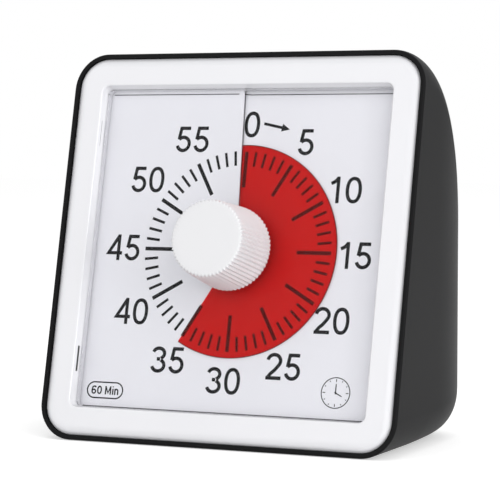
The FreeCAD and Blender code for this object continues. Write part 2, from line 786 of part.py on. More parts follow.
def make_housing():
    """Black shell with its rim, ledge, screw towers, battery bay and openings."""
    front, rear = housing_form(0.0, loft_steps)
    form = front.fuse(rear)
    cavity_front, cavity_rear = housing_form(wall, cavity_steps)
    cavity = cavity_front.fuse(cavity_rear).cut(in_front_of(-bezel_seat))
    front = front.cut(in_front_of(rim_proud))
    outward = Vector(0, -cos(radians(lean)), sin(radians(lean)))
    rim_edges = [edge for edge in front.Edges
                 if all(abs((v.Point - face.Base).dot(outward) - rim_proud) < 0.01 for v in edge.Vertexes)]
    front = front.makeFillet(rim_round, rim_edges)
    outer = front.fuse(rear)
    pocket = placed(slab(bezel_half_w + bezel_gap, bezel_half_h + bezel_gap, bezel_corner + bezel_gap,
                         -bezel_seat, slope_height))
    shell = outer.cut(cavity).cut(pocket)
    back = back_y()
    inner_back = back - wall
    bay_front = bay_y() - cell_r - cell_clear
    bay_low = door_low - door_tab_drop - door_gap
    bay_high = door_high + 1.0
    case = box(-bay_half - bay_wall, bay_half + bay_wall, bay_front - bay_wall, inner_back + 0.1,
               bay_low - bay_wall, bay_high + bay_wall)
    towers = [placed(rod(tower_r, -slope_height, -tower_end, x, y)).common(form) for x, y in housing_screw_spots]
    button_box = switch_travel / 2 + switch_button_w / 2 + 4.0 + fit_gap
    posts = [box(switch_x - button_box - 1.2, switch_x - button_box, inner_back - 4.0, inner_back + 0.1,
                 switch_z - 4, switch_z + 4),
             box(switch_x + button_box, switch_x + button_box + 1.2, inner_back - 4.0, inner_back + 0.1,
                 switch_z - 4, switch_z + 4)]
    cup_start = Vector(sound_x, inner_back - cup_h, sound_z)
    cup = Part.makeCylinder(buzzer_r + bay_wall, cup_h + 0.1, cup_start, Vector(0, 1, 0))
    cup = cup.cut(Part.makeCylinder(buzzer_r + fit_gap, cup_h + 0.1, cup_start, Vector(0, 1, 0)))
    shell = shell.fuse([case, cup] + towers + posts)
    shell = shell.cut(box(-bay_half, bay_half, bay_front, inner_back + 0.2, bay_low, bay_high))
    shell = shell.cut(box(-door_half_w, door_half_w, inner_back - 1, back + 1, door_low, door_high))
    shell = shell.cut(box(-latch_w / 2, latch_w / 2, inner_back - 1, back + 1, door_high - 1,
                          door_high + latch_rise))
    for x, y in housing_screw_spots:
        shell = shell.cut(placed(rod(head_r + 0.4, -slope_height, -tower_end - tower_floor, x, y)))
        shell = shell.cut(placed(rod(screw_r + 0.2, -slope_height, 0, x, y)))
    slot = switch_travel / 2 + switch_button_w / 2 + 0.2
    shell = shell.cut(box(switch_x - slot, switch_x + slot, inner_back - 1, back + 1,
                          switch_z - switch_button_h / 2 - 0.2, switch_z + switch_button_h / 2 + 0.2))
    for i in (-1, 0, 1):
        for j in (-1, 0, 1):
            start = Vector(sound_x + i * sound_hole_step, inner_back - 1, sound_z + j * sound_hole_step)
            shell = shell.cut(Part.makeCylinder(sound_hole_r, wall + 2, start, Vector(0, 1, 0)))
    return shell


def build_all():
    """Every piece by name, in the frame whose y is 0 at the dial axis."""
    parts = {}
    parts["rear_housing"] = make_housing()
    parts["front_bezel"] = make_bezel()
    parts["window_lens"] = make_lens()
    parts["dial_card"] = make_card()
    parts["time_disc"] = make_disc()
    parts["disc_hub"] = make_hub()
    parts["knob"] = make_knob()
    parts["spindle"] = make_spindle()
    parts["time_wheel"] = make_time_wheel()
    parts["clutch_washer"] = make_clutch()
    parts["second_wheel"] = make_compound(0, second_pinion_teeth, time_module, second_phase,
                                          second_teeth, second_module, second_x, second_y)
    parts["third_wheel"] = make_compound(1, third_pinion_teeth, second_module, third_phase,
                                         third_teeth, third_module, third_x, third_y)
    parts["rotor"] = make_rotor()
    for name, spot, front in zip(("second_arbor", "third_arbor", "rotor_arbor"), arbor_spots, arbor_fronts):
        parts[name] = make_arbor(*spot, front)
    parts["movement_plate"] = make_plate()
    parts["movement_cover"] = make_cover().fuse(make_stator_posts()).removeSplitter()
    parts["motor_stator"] = stator_shape
    parts["motor_coil"] = make_coil()
    parts["dial_frame"] = make_dial_frame()
    parts["circuit_board"], parts["board_chip"], parts["quartz_crystal"] = make_board()
    parts["battery_cell"] = make_cell()
    parts["battery_spring"] = make_spring()
    parts["spring_plate"], parts["battery_plate"] = make_contacts()
    parts["battery_door"] = make_door()
    parts["switch_slider"], parts["switch_body"] = make_switch()
    parts["sound_buzzer"] = make_buzzer()
    head = -tower_end - tower_floor
    parts["housing_screws"] = Part.makeCompound(
        [screw(screw_length + tower_floor, head, x, y) for x, y in housing_screw_spots])
    parts["frame_screws"] = Part.makeCompound(
        [screw(screw_length, -frame_floor, x, y) for x, y in frame_screw_spots])
    case_length = case_back - frame_floor + frame_t - 0.2
    parts["movement_screws"] = Part.makeCompound(
        [screw(case_length, -case_back, x, y) for x, y in case_screw_spots])
    return parts


def main():
    """Build, centre the origin under the part, and write each piece."""
    parts = build_all()
    front = parts["knob"].optimalBoundingBox(False).YMin
    rear = parts["switch_slider"].optimalBoundingBox(False).YMax
    shift = Vector(0, -(front + rear) / 2, 0)
    os.makedirs("parts", exist_ok=True)
    for name, shape in parts.items():
        shape.translate(shift)
        shape.exportStep("parts/" + name + ".step")
        bounds = shape.optimalBoundingBox(False)
        print(name, "solids", len(shape.Solids), "valid", shape.isValid(), "volume", round(shape.Volume, 1),
              [round(v, 2) for v in (bounds.XMin, bounds.YMin, bounds.ZMin, bounds.XMax, bounds.YMax, bounds.ZMax)])
    print("shift", round(shift.y, 4), "dial axis point", (0, round(shift.y, 4), round(dial_z, 4)))
    for name, (x, y) in zip(("second", "third", "rotor"), arbor_spots):
        p = placed(Part.Vertex(x, y, 0)).Point + shift
        print(name, "axis point", [round(v, 4) for v in (p.x, p.y, p.z)])
    print("pitch", round(card_pitch, 4), "back y", round(back_y() + shift.y, 4))


main()
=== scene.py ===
import json
import logging
from collections.abc import Sequence
from dataclasses import dataclass, field
from enum import Enum
from math import atan2, copysign, cos, degrees, hypot, pi, radians, sin, sqrt

import bmesh
import bpy
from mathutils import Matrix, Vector

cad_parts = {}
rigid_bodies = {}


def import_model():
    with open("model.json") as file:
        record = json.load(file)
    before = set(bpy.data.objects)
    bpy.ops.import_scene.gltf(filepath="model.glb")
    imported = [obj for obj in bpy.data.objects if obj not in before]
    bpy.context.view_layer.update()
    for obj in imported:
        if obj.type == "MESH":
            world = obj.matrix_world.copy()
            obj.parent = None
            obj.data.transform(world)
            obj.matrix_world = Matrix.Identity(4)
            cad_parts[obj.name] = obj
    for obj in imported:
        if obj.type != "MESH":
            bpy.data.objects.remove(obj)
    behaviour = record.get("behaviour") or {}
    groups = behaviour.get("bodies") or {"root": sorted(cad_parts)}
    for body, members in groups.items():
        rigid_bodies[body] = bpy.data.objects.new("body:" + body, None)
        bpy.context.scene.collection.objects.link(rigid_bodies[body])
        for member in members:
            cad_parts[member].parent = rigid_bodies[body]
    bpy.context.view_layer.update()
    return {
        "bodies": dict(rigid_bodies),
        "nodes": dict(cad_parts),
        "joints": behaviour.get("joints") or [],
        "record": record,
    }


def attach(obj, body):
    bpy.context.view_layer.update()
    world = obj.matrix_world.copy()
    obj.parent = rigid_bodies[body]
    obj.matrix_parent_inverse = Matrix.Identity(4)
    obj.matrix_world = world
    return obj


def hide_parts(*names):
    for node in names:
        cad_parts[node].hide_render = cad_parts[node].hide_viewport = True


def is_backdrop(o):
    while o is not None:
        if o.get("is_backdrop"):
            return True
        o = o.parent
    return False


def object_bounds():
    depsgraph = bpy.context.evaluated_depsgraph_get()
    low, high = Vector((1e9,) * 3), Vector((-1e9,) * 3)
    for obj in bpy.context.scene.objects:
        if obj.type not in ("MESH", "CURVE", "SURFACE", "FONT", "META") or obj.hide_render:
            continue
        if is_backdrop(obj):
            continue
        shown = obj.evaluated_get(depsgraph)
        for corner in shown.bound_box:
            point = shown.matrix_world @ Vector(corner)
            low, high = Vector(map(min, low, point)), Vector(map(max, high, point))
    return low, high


log = logging.getLogger("timer")

Ring = list[Vector]
Row = list[bmesh.types.BMVert]
Point = tuple[float, float]
Path = tuple[list[Point], bool]
Triple = tuple[float, float, float]

MM = 0.001
DRIFT_WAVES = 22.0
COAT_ROUGHNESS = 0.08


class Body(Enum):
    """The moving bodies of the timer that scene pieces ride on."""

    HOUSING = "housing"
    KNOB = "knob"
    DISC = "disc"
    DOOR = "battery_door"
    SWITCH = "sound_switch"


class Value:
    """A shader socket that can be used in Python sums; numbers alone stay in Python."""

    def __init__(self, tree: bpy.types.NodeTree, socket: bpy.types.NodeSocket) -> None:
        """Wrap an output socket of a node tree."""
        self.tree = tree
        self.socket = socket

    def _math(self, operation: str, first: "Value | float", second: "Value | float") -> "Value":
        """Add one Math node.

        Args:
            operation: The Math node's operation.
            first: Its first input.
            second: Its second input.

        Returns:
            The node's result.
        """
        node = self.tree.nodes.new("ShaderNodeMath")
        node.operation = operation
        for slot, given in zip(node.inputs, (first, second)):
            if isinstance(given, Value):
                self.tree.links.new(given.socket, slot)
            else:
                slot.default_value = given
        return Value(self.tree, node.outputs[0])

    def __add__(self, other: "Value | float") -> "Value":
        """Self plus other."""
        return self._math("ADD", self, other)

    def __radd__(self, other: float) -> "Value":
        """Other plus self."""
        return self._math("ADD", other, self)

    def __sub__(self, other: "Value | float") -> "Value":
        """Self minus other."""
        return self._math("SUBTRACT", self, other)

    def __rsub__(self, other: float) -> "Value":
        """Other minus self."""
        return self._math("SUBTRACT", other, self)

    def __mul__(self, other: "Value | float") -> "Value":
        """Self times other."""
        return self._math("MULTIPLY", self, other)

    def __rmul__(self, other: float) -> "Value":
        """Other times self."""
        return self._math("MULTIPLY", other, self)


class Shader:
    """The nodes of a material or of the world, with a single method that adds any node."""

    def __init__(self, holder: bpy.types.Material | bpy.types.World) -> None:
        """Start with no nodes.

        Args:
            holder: The material or world that the nodes belong to.
        """
        self.holder = holder
        holder.use_nodes = True
        self.tree = holder.node_tree
        self.tree.nodes.clear()

    def node(self, kind: str, settings: dict | None = None, inputs: dict | None = None) -> bpy.types.Node:
        """Add a node.

        Args:
            kind: The node's type.
            settings: Attributes that are set first.
            inputs: Values or links by socket name or number.

        Returns:
            The new node.
        """
        made = self.tree.nodes.new(kind)
        for key, value in (settings or {}).items():
            setattr(made, key, value)
        for key, value in (inputs or {}).items():
            if isinstance(value, Value):
                value = value.socket
            if isinstance(value, bpy.types.NodeSocket):
                self.tree.links.new(value, made.inputs[key])
            else:
                made.inputs[key].default_value = value
        return made

    def noise(self, scale: float, detail: float = 3.0) -> Value:
        """Add a noise pattern fixed to the piece.

        Args:
            scale: Waves per metre.
            detail: Octaves of finer noise.

        Returns:
            The noise from 0 to 1.
        """
        place = self.node("ShaderNodeTexCoord")
        made = self.node("ShaderNodeTexNoise", inputs={
            "Vector": place.outputs["Object"], "Scale": scale, "Detail": detail, "Roughness": 0.55})
        return Value(self.tree, made.outputs["Fac"])

    def bump(self, height: Value, depth: float) -> bpy.types.NodeSocket:
        """Bend the normal by a pattern from 0 to 1 of a depth in metres."""
        made = self.node("ShaderNodeBump", inputs={"Height": height, "Distance": depth, "Strength": 1.0})
        return made.outputs["Normal"]

    def looked_at(self) -> Value:
        """Tell the rays that look at the surface from those that carry its light.

        Returns:
            At least 1 for the camera, a gloss and what a clear piece lets through, otherwise 0.
        """
        path = self.node("ShaderNodeLightPath")
        camera, gloss, clear = (Value(self.tree, path.outputs[f"Is {ray} Ray"])
                                for ray in ("Camera", "Glossy", "Transmission"))
        return camera + gloss + clear

    def close(self, surface: bpy.types.NodeSocket) -> bpy.types.Material | bpy.types.World:
        """Join the surface to the output.

        Args:
            surface: The finished shader.

        Returns:
            The material or world.
        """
        ends = "World" if isinstance(self.holder, bpy.types.World) else "Material"
        self.node("ShaderNodeOutput" + ends, inputs={"Surface": surface})
        return self.holder


@dataclass(frozen=True)
class Finish:
    """A moulded, printed or metal surface.

    Args:
        name: The material's name.
        color: Its plain colour, linear.
        other: The colour that it drifts to in its pattern.
        roughness: Its mean roughness.
        spread: How far the roughness moves with the pattern.
        grain: Waves of the fine texture per metre.
        depth: Height of the fine texture in metres.
        metallic: 0 or 1.
        coat: Weight of a clear gloss layer.
        gloss: Specular level, where 0.5 is plain plastic.
    """

    name: str
    color: Triple
    other: Triple
    roughness: float
    spread: float = 0.06
    grain: float = 4000.0
    depth: float = 0.00001
    metallic: float = 0.0
    coat: float = 0.0
    gloss: float = 0.5

    def material(self) -> bpy.types.Material:
        """Build the material.

        Returns:
            The finished material.
        """
        shader = Shader(bpy.data.materials.new(self.name))
        drift = shader.noise(DRIFT_WAVES, 2.0)
        grain = shader.noise(self.grain)
        tint = shader.node("ShaderNodeMix", {"data_type": "RGBA"},
                           {0: drift, 6: (*self.color, 1), 7: (*self.other, 1)})
        rough = self.roughness + (grain - 0.5) * self.spread + (drift - 0.5) * self.spread
        surface = shader.node("ShaderNodeBsdfPrincipled", inputs={
            "Base Color": tint.outputs[2], "Roughness": rough, "Metallic": self.metallic,
            "Coat Weight": self.coat, "Coat Roughness": COAT_ROUGHNESS, "Specular IOR Level": self.gloss,
            "Normal": shader.bump(grain, self.depth)})
        return shader.close(surface.outputs[0])


@dataclass(frozen=True)
class ClearGloss:
    """A clear sheet: light passes straight, and a gloss layer lies over it.

    Args:
        name: The material's name.
        tint: The colour that the light takes on each pass.
        body: Share of light that the sheet's own colour gives back.
        color: The sheet's own colour.
        roughness: Roughness of its gloss.
        bend: Index that sets how strongly it mirrors.
    """

    name: str
    tint: Triple
    body: float
    color: Triple
    roughness: float
    bend: float

    def material(self) -> bpy.types.Material:
        """Build the material.

        Returns:
            The finished material.
        """
        shader = Shader(bpy.data.materials.new(self.name))
        clear = shader.node("ShaderNodeBsdfTransparent", inputs={"Color": (*self.tint, 1)})
        own = shader.node("ShaderNodeBsdfDiffuse", inputs={"Color": (*self.color, 1), "Roughness": 0.4})
        haze = self.body * (0.8 + shader.noise(DRIFT_WAVES, 2.0) * 0.4)
        both = shader.node("ShaderNodeMixShader", inputs={
            0: haze, 1: clear.outputs[0], 2: own.outputs[0]})
        gloss = shader.node("ShaderNodeBsdfGlossy", inputs={"Roughness": self.roughness})
        edge = shader.node("ShaderNodeFresnel", inputs={"IOR": self.bend})
        surface = shader.node("ShaderNodeMixShader", inputs={
            0: edge.outputs[0], 1: both.outputs[0], 2: gloss.outputs[0]})
        return shader.close(surface.outputs[0])


FINISHES: dict[str, Finish | ClearGloss] = {finish.name: finish for finish in (
    Finish("black_housing", (0.008, 0.008, 0.0085), (0.012, 0.012, 0.0125), 0.42, 0.08, 5200, 2.2e-5,
           gloss=0.035),
    Finish("white_bezel", (0.74, 0.74, 0.765), (0.765, 0.765, 0.79), 0.22, 0.03, 900, 1e-6, coat=0.4),
    ClearGloss("clear_lens", (0.99, 0.99, 0.995), 0.004, (1, 1, 1), 0.02, 1.13),
    Finish("white_card", (0.87, 0.87, 0.905), (0.89, 0.89, 0.92), 0.6, 0.05, 2600, 3e-6, gloss=0.15),
    ClearGloss("red_film", (0.985, 0.2, 0.2), 0.05, (0.9, 0.02, 0.02), 0.3, 1.05),
    Finish("film_edge", (0.05, 0.003, 0.004), (0.07, 0.004, 0.005), 0.5, gloss=0.1),
    Finish("print_ink", (0.005, 0.005, 0.006), (0.008, 0.008, 0.009), 0.6, gloss=0.1),
    # Painted shadow: the thin dark line along the card's top and bottom edges, where the gap to the frame is
    # in shade.
    Finish("gap_painted_shadow", (0.03, 0.03, 0.035), (0.05, 0.05, 0.055), 0.6),
    Finish("white_knob", (0.72, 0.72, 0.735), (0.74, 0.74, 0.755), 0.36, 0.05, 5200, 6e-6, coat=0.1),
    Finish("white_plastic", (0.7, 0.7, 0.69), (0.74, 0.74, 0.73), 0.5, 0.08, 3000, 1e-5),
    Finish("steel", (0.5, 0.5, 0.52), (0.6, 0.6, 0.62), 0.28, 0.1, 2400, 4e-6, metallic=1.0),
    Finish("spring_steel", (0.62, 0.6, 0.56), (0.7, 0.68, 0.64), 0.22, 0.08, 2400, 2e-6, metallic=1.0),
    Finish("gear_plastic", (0.72, 0.69, 0.6), (0.78, 0.75, 0.67), 0.45, 0.08, 3000, 6e-6),
    Finish("copper", (0.5, 0.16, 0.06), (0.62, 0.24, 0.1), 0.3, 0.12, 6000, 2e-5, metallic=1.0),
    Finish("board_green", (0.015, 0.1, 0.04), (0.02, 0.14, 0.06), 0.35, 0.1, 3500, 8e-6, coat=0.3),
    Finish("black_parts", (0.014, 0.014, 0.014), (0.024, 0.024, 0.024), 0.48, 0.08, 4200, 1.2e-5),
    Finish("cell_jacket", (0.02, 0.022, 0.028), (0.035, 0.037, 0.045), 0.3, 0.05, 1800, 2e-6, coat=0.4),
)}


class Palette:
    """Builds each finish once and hands it out by name."""

    def __init__(self) -> None:
        """Start with no material."""
        self.made: dict[str, bpy.types.Material] = {}

    def get(self, name: str) -> bpy.types.Material:
        """One material by name.

        Args:
            name: A key of FINISHES.

        Returns:
            The material.
        """
        if name not in self.made:
            self.made[name] = FINISHES[name].material()
        return self.made[name]


@dataclass
class Face:
    """The dial's own frame, in millimetres: x right, y up the slope, z out of the dial."""

    origin: Vector
    out: Vector
    right: Vector = field(default_factory=lambda: Vector((1, 0, 0)))

    @property
    def up(self) -> Vector:
        """The direction up the slope."""
        return self.out.cross(self.right)

    def at(self, x: float, y: float, z: float) -> Vector:
        """The place in the scene, in metres, of a point given in millimetres."""
        return self.origin + (self.right * x + self.up * y + self.out * z) * MM


def linked(name: str, data: bpy.types.ID) -> bpy.types.Object:
    """Make an object from a mesh, lamp or camera and put it in the scene.

    Args:
        name: The object's name.
        data: What it shows.

    Returns:
        The object.
    """
    made = bpy.data.objects.new(name, data)
    bpy.context.scene.collection.objects.link(made)
    return made


def mesh_of(edit: bmesh.types.BMesh, name: str) -> bpy.types.Mesh:
    """Turn an edit mesh into a mesh and free it.

    Args:
        edit: The edit mesh.
        name: The new mesh's name.

    Returns:
        The mesh.
    """
    mesh = bpy.data.meshes.new(name)
    edit.to_mesh(mesh)
    edit.free()
    return mesh


class Workshop:
    """Makes meshes, dresses them and fixes them to the frame."""

    weld: float = 2e-6
    sharp: float = radians(40)

    def __init__(self, frame: dict, palette: Palette) -> None:
        """Keep the frame and the finishes.

        Args:
            palette: The finishes.
        """
        self.frame = frame
        self.palette = palette
        hinge = next(j for j in frame["record"]["behaviour"]["joints"] if j["name"] == "set_time")
        self.face = Face(Vector(hinge["pos_m"]), -Vector(hinge["axis"]))

    def add(self, name: str, mesh: bpy.types.Mesh, finish: str, body: Body,
            smooth: float = 35.0) -> bpy.types.Object:
        """Put a mesh in the scene as a piece.

        Args:
            name: The piece's name.
            mesh: Its mesh.
            finish: Its finish's name.
            body: The body that it rides on.
            smooth: Edges flatter than this many degrees are shaded smooth.

        Returns:
            The new piece.
        """
        piece = linked(name, mesh)
        mesh.materials.clear()
        mesh.materials.append(self.palette.get(finish))
        edit = bmesh.new()
        edit.from_mesh(mesh)
        bmesh.ops.recalc_face_normals(edit, faces=edit.faces)
        for part in edit.faces:
            part.smooth = True
        for edge in edit.edges:
            if len(edge.link_faces) == 2:
                edge.smooth = edge.calc_face_angle(0.0) < radians(smooth)
        edit.to_mesh(mesh)
        edit.free()
        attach(piece, body.value)
        log.info("piece %s rides on %s", name, body.value)
        return piece

    def lofted(self, rings: Sequence[Ring], closed: bool, capped: bool) -> bmesh.types.BMesh:
        """Join rings of equal count by faces.

        Args:
            rings: Rings of points in metres.
            closed: Whether the last ring joins the first.
            capped: Whether the first and last rings are filled.

        Returns:
            The edit mesh.
        """
        edit = bmesh.new()
        rows = [[edit.verts.new(p) for p in ring] for ring in rings]
        for a, b in zip(rows, rows[1:] + (rows[:1] if closed else [])):
            self.bridge(edit, a, b)
        if capped:
            edit.faces.new(rows[0])
            edit.faces.new(rows[-1])
        return edit

    def bridge(self, edit: bmesh.types.BMesh, a: Row, b: Row) -> None:
        """Join two closed rows of points by faces.

        Args:
            edit: The edit mesh.
            a: One row.
            b: The other row.
        """
        for j in range(len(a)):
            k = (j + 1) % len(a)
            edit.faces.new((a[j], a[k], b[k], b[j]))

    def outline(self, half_w: float, half_h: float, corner: float, z: float, steps: int = 10) -> Ring:
        """A rounded rectangle round the dial axis.

        Args:
            half_w: Half its width.
            half_h: Half its height.
            corner: Its corner radius.
            z: Its depth.
            steps: Spans in each corner.

        Returns:
            Its points.
        """
        ring = []
        for quarter, (sx, sy) in enumerate(((1, 1), (-1, 1), (-1, -1), (1, -1))):
            for i in range(steps + 1):
                a = pi / 2 * (quarter + i / steps)
                ring.append(self.face.at(sx * (half_w - corner) + corner * cos(a),
                                         sy * (half_h - corner) + corner * sin(a), z))
        return ring

    def circle(self, r: float, z: float, count: int) -> Ring:
        """A circle of a number of points round the dial axis."""
        turns = [2 * pi * i / count for i in range(count)]
        return [self.face.at(r * cos(a), r * sin(a), z) for a in turns]

    def dress_node(self, node: str, finish: str) -> None:
        """Give a CAD node its finish.

        Args:
            node: The node's name.
            finish: The finish's name.
        """
        piece = self.frame["nodes"][node]
        if not piece.material_slots:
            piece.data.materials.append(self.palette.get(finish))
        for slot in piece.material_slots:
            slot.material = self.palette.get(finish)
        log.info("node %s is dressed in %s", node, finish)

    def copied(self, node: str, flat: float) -> bmesh.types.BMesh:
        """Copy a CAD node's mesh with its flat faces merged.

        Args:
            node: The node's name.
            flat: Faces that turn by less than this many degrees are merged.

        Returns:
            The edit mesh, in the scene's frame.
        """
        source = self.frame["nodes"][node]
        edit = bmesh.new()
        edit.from_mesh(source.data)
        edit.transform(source.matrix_world)
        bmesh.ops.remove_doubles(edit, verts=edit.verts, dist=self.weld)
        bmesh.ops.dissolve_limit(edit, angle_limit=radians(flat), verts=edit.verts, edges=edit.edges)
        return edit

    def rounded_copy(self, node: str, finish: str, body: Body, radius: float) -> bpy.types.Object:
        """A copy of a CAD node with its sharp edges broken, which then stands for the node.

        Args:
            node: The node's name.
            finish: The finish's name.
            body: The body that it rides on.
            radius: The width of the broken edge in millimetres.

        Returns:
            The new piece.
        """
        edit = self.copied(node, 1.0)
        sharp = [e for e in edit.edges if len(e.link_faces) == 2 and e.calc_face_angle(0.0) > self.sharp]
        bmesh.ops.bevel(edit, geom=sharp, offset=radius * MM, segments=2, profile=0.5, affect="EDGES",
                        clamp_overlap=True)
        piece = self.add(node + "_finished", mesh_of(edit, node + "_finished"), finish, body)
        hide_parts(node)
        return piece


@dataclass
class Bezel:
    """The white frame of the face and its clear window, in millimetres."""

    shop: Workshop
    half_w: float = 68.1
    half_h: float = 70.6
    corner: float = 11.1
    corner_draw: float = 3.0
    seat: float = 2.6
    edge: float = 0.3
    outer_draw: float = 0.25
    crown: float = 1.1
    crown_steps: int = 14
    rise_share: float = 2.6
    rise_power: float = 2.4
    lip: float = 0.55
    lip_step: float = 0.2
    lip_steps: int = 6
    lip_corner: float = 0.5
    window_half_w: float = 57.9
    window_half_h: float = 60.1
    window_corner: float = 2.2
    wall_start: float = 0.6
    wall_shares: tuple[float, ...] = (0.0, 0.02, 0.96, 1.0)
    draft: float = 0.7
    skirt: float = 5.2
    skirt_wall: float = 1.2
    lens_top: float = 2.3
    lens_t: float = 1.2
    lens_lap: float = 0.1
    lens_edge: float = 0.15
    lens_corner: float = 1.8
    lens_edge_corner: float = 1.7
    lens_steps: int = 22
    hole_r: float = 10.0
    tab_length: float = 9.4
    tab_y: float = 42.4
    tab_reach: float = 1.5
    tab_gap: float = 0.01
    slot_z: float = 1.25
    slot_t: float = 1.1
    slot_depth: float = 1.5
    # The next three sizes place a black sheet in each tab slot: painted shade for the blind slot's dark
    # recess.
    back_inset: float = 0.16
    back_t: float = 0.4
    back_gap: float = 0.04

    def profile(self) -> list[Point]:
        """The crowned front, from the outer edge to the window.

        Returns:
            Inset from the outer edge and depth for each point.
        """
        level = self.half_w - self.window_half_w - self.lip - self.lip_step
        points = []
        for i in range(self.crown_steps + 1):
            share = i / self.crown_steps
            rise = self.crown * (1 - abs(1 - min(1.0, share * self.rise_share)) ** self.rise_power)
            points.append((self.outer_draw + share * (level - self.outer_draw), rise))
        for i in range(1, self.lip_steps + 1):
            a = pi / 2 * i / self.lip_steps
            points.append((level + self.lip * sin(a), self.crown - self.lip * (1 - cos(a))))
        return points

    def build(self) -> None:
        """Build the frame and the window."""
        shop, rings = self.shop, []
        side, end = self.half_w - self.window_half_w, self.half_h - self.window_half_h
        for inset, z in self.profile():
            share = min(1.0, inset / side)
            corner = self.corner - min(inset, self.corner_draw)
            corner = corner * (1 - share) + (self.window_corner + self.lip_corner) * share
            rings.append(shop.outline(self.half_w - inset, self.half_h - inset * end / side, corner, z))
        for share in self.wall_shares:
            shrink = self.draft * share
            rings.append(shop.outline(self.window_half_w - shrink, self.window_half_h - shrink,
                                      self.window_corner - self.edge * share,
                                      -self.wall_start - share * (self.skirt - self.wall_start)))
        wall = self.skirt_wall
        for z in (-self.skirt, -self.seat):
            rings.append(shop.outline(self.window_half_w + wall, self.window_half_h + wall,
                                      self.window_corner + wall, z))
        for inset, z in ((self.edge, -self.seat), (0.0, -self.seat + self.edge), (0.0, -self.edge)):
            rings.append(shop.outline(self.half_w - inset, self.half_h - inset, self.corner - inset, z))
        mesh = mesh_of(shop.lofted(rings, True, False), "front_bezel_finished")
        piece = shop.add("front_bezel_finished", mesh, "white_bezel", Body.HOUSING, 50.0)
        self.cut_slots(piece)
        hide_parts("front_bezel")
        self.build_lens()

    def slot_box(self, sx: int, sy: int, inset: float, depth: float, wide: float) -> bmesh.types.BMesh:
        """A box across the window's side wall at one tab slot.

        Args:
            sx: -1 on the left and 1 on the right.
            sy: -1 below and 1 above.
            inset: How far its middle lies behind the wall.
            depth: Its size into the wall.
            wide: Its size out of the dial.

        Returns:
            The box.
        """
        edit = bmesh.new()
        bmesh.ops.create_cube(edit, size=1.0)
        for vert in edit.verts:
            p = vert.co
            vert.co = self.shop.face.at(sx * (self.window_half_w + inset + p.x * depth),
                                        sy * self.tab_y + p.y * self.tab_length, -self.slot_z + p.z * wide)
        return edit

    def cut_slots(self, piece: bpy.types.Object) -> None:
        """Cut the four tab slots into the window's side walls, and put a black sheet in each as painted
        shade, where the blind slot would be in shade.

        Args:
            piece: The frame.
        """
        for sx, side in ((-1, "left"), (1, "right")):
            for sy, end in ((-1, "low"), (1, "high")):
                edit = self.slot_box(sx, sy, 0.0, self.slot_depth, self.slot_t)
                bmesh.ops.recalc_face_normals(edit, faces=edit.faces)
                apply_boolean(piece, linked("slot_cutter", mesh_of(edit, "slot_cutter")))
                # A black sheet in the slot: painted shade where the blind slot would be in shade.
                edit = self.slot_box(sx, sy, self.back_inset, self.back_t, self.slot_t - self.back_gap)
                bmesh.ops.bevel(edit, geom=edit.edges, offset=self.back_gap * MM, segments=1, affect="EDGES")
                bmesh.ops.recalc_face_normals(edit, faces=edit.faces)
                back = self.shop.add(f"slot_painted_shade_{side}_{end}", mesh_of(edit, "slot_painted_shade"), "black_parts",
                                     Body.HOUSING)

    def build_lens(self) -> None:
        """Build the clear window with its tabs and centre hole."""
        shop, edge, steps = self.shop, self.lens_edge, self.lens_steps
        half_w = self.window_half_w - self.draft + self.lens_lap
        half_h = self.window_half_h - self.draft + self.lens_lap
        top, under = -self.lens_top, -self.lens_top - self.lens_t
        rims = [shop.outline(half_w - inset, half_h - inset, corner, z, steps) for inset, corner, z in (
            (0.0, self.lens_corner, under + edge), (0.0, self.lens_corner, top - edge),
            (edge, self.lens_edge_corner, top), (edge, self.lens_edge_corner, under))]
        spans = steps + 1
        angles = [pi / 2 * (quarter + (i + 0.5) / spans) for quarter in range(4) for i in range(spans)]
        hole = [[shop.face.at(r * cos(a), r * sin(a), z) for a in angles] for r, z in (
            (self.hole_r + edge, top), (self.hole_r, top - edge), (self.hole_r, under + edge),
            (self.hole_r + edge, under))]
        edit = shop.lofted([*rims[:3], *hole, rims[3]], True, False)
        for sx in (-1, 1):
            for sy in (-1, 1):
                made = bmesh.ops.create_cube(edit, size=1.0)
                for vert in made["verts"]:
                    p = vert.co
                    vert.co = shop.face.at(
                        sx * (half_w + self.tab_reach / 2) + p.x * (self.tab_reach - 2 * self.tab_gap),
                        sy * self.tab_y + p.y * self.tab_length,
                        (top + under) / 2 + p.z * (self.lens_t - 2 * edge))
        piece = shop.add("window_lens_finished", mesh_of(edit, "window_lens_finished"), "clear_lens",
                         Body.HOUSING, 25.0)
        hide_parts("window_lens")


def apply_boolean(piece: bpy.types.Object, cutter: bpy.types.Object) -> None:
    """Cut one mesh out of another and remove the cutter.

    Args:
        piece: The mesh that is cut.
        cutter: The mesh that is taken away.
    """
    step = piece.modifiers.new("cut", "BOOLEAN")
    step.operation = "DIFFERENCE"
    step.solver = "EXACT"
    step.object = cutter
    graph = bpy.context.evaluated_depsgraph_get()
    mesh = bpy.data.meshes.new_from_object(piece.evaluated_get(graph))
    piece.modifiers.remove(step)
    old = piece.data
    piece.data = mesh
    bpy.data.meshes.remove(old)
    bpy.data.objects.remove(cutter)


